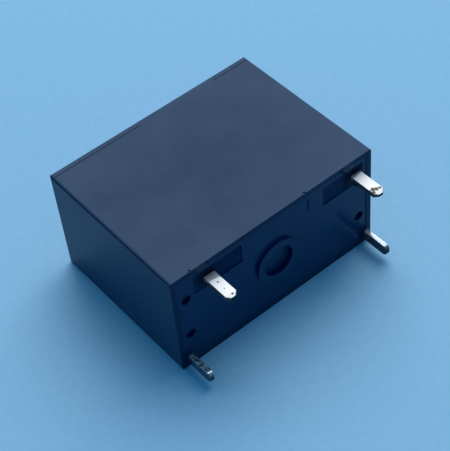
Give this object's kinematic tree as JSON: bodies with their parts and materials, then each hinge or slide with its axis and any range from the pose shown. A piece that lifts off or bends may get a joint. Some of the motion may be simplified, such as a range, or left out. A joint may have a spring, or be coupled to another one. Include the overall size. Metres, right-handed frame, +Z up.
{
  "type": "pcb power relay",
  "caption": "Sealed box-shaped power relay for a circuit board, lying on its side, with flat contact blades and narrow coil pins on its base and a working magnet inside.",
  "frame": {"origin": "centre of the long side face that the relay lies on", "axes": "+X along the length towards the fixed contact's end, +Y from the terminals towards the roof of the case, +Z up across the width"},
  "size_m": [0.0204, 0.0183, 0.0105],
  "materials": {
    "case_plastic": "fine moulded satin",
    "base_plastic": "moulded matte",
    "resin": "cured epoxy",
    "tin": "bright tin plate",
    "silver_contact": "satin silver alloy",
    "spring_copper": "rolled copper alloy",
    "bobbin_plastic": "moulded",
    "enamelled_wire": "enamelled copper wire",
    "solder": "dull solder",
    "plated_iron": "nickel plated",
    "pusher_plastic": "moulded",
    "spring_steel": "rolled spring steel"
  },
  "bodies": {
    "housing": {"case": "case_plastic", "base": "base_plastic", "sealing_resin": "resin", "moving_terminal": "tin", "fixed_terminal": "tin", "coil_terminal_left": "tin", "coil_terminal_right": "tin", "fixed_contact": "silver_contact", "spring_rivets": "tin", "bobbin": "bobbin_plastic", "coil_winding": "enamelled_wire", "coil_lead_left": "enamelled_wire", "coil_lead_right": "enamelled_wire", "solder_left": "solder", "solder_right": "solder", "core": "plated_iron", "yoke": "plated_iron", "hinge_spring": "spring_steel"},
    "armature": {"armature": "plated_iron", "pusher": "pusher_plastic"},
    "contact_arm": {"moving_spring": "spring_copper", "moving_contact": "silver_contact"}
  },
  "joints": [
    {"name": "armature_hinge", "type": "hinge", "parent": "housing", "child": "armature", "pos_m": [0.00742, -0.00222, 0.00525], "axis": [0, 0, 1], "range_deg": [0, 5.7], "stiffness_Nm_per_rad": 0.002, "springref_deg": -11.46},
    {"name": "contact_flex", "type": "hinge", "parent": "housing", "child": "contact_arm", "pos_m": [-0.00491, -0.00449, 0.00525], "axis": [0, 0, -1], "range_deg": [0, 3.85], "deforming": ["moving_spring"]}
  ],
  "couplings": [
    {"joint": "contact_flex", "follows": "armature_hinge", "ratio": 0.67394}
  ]
}
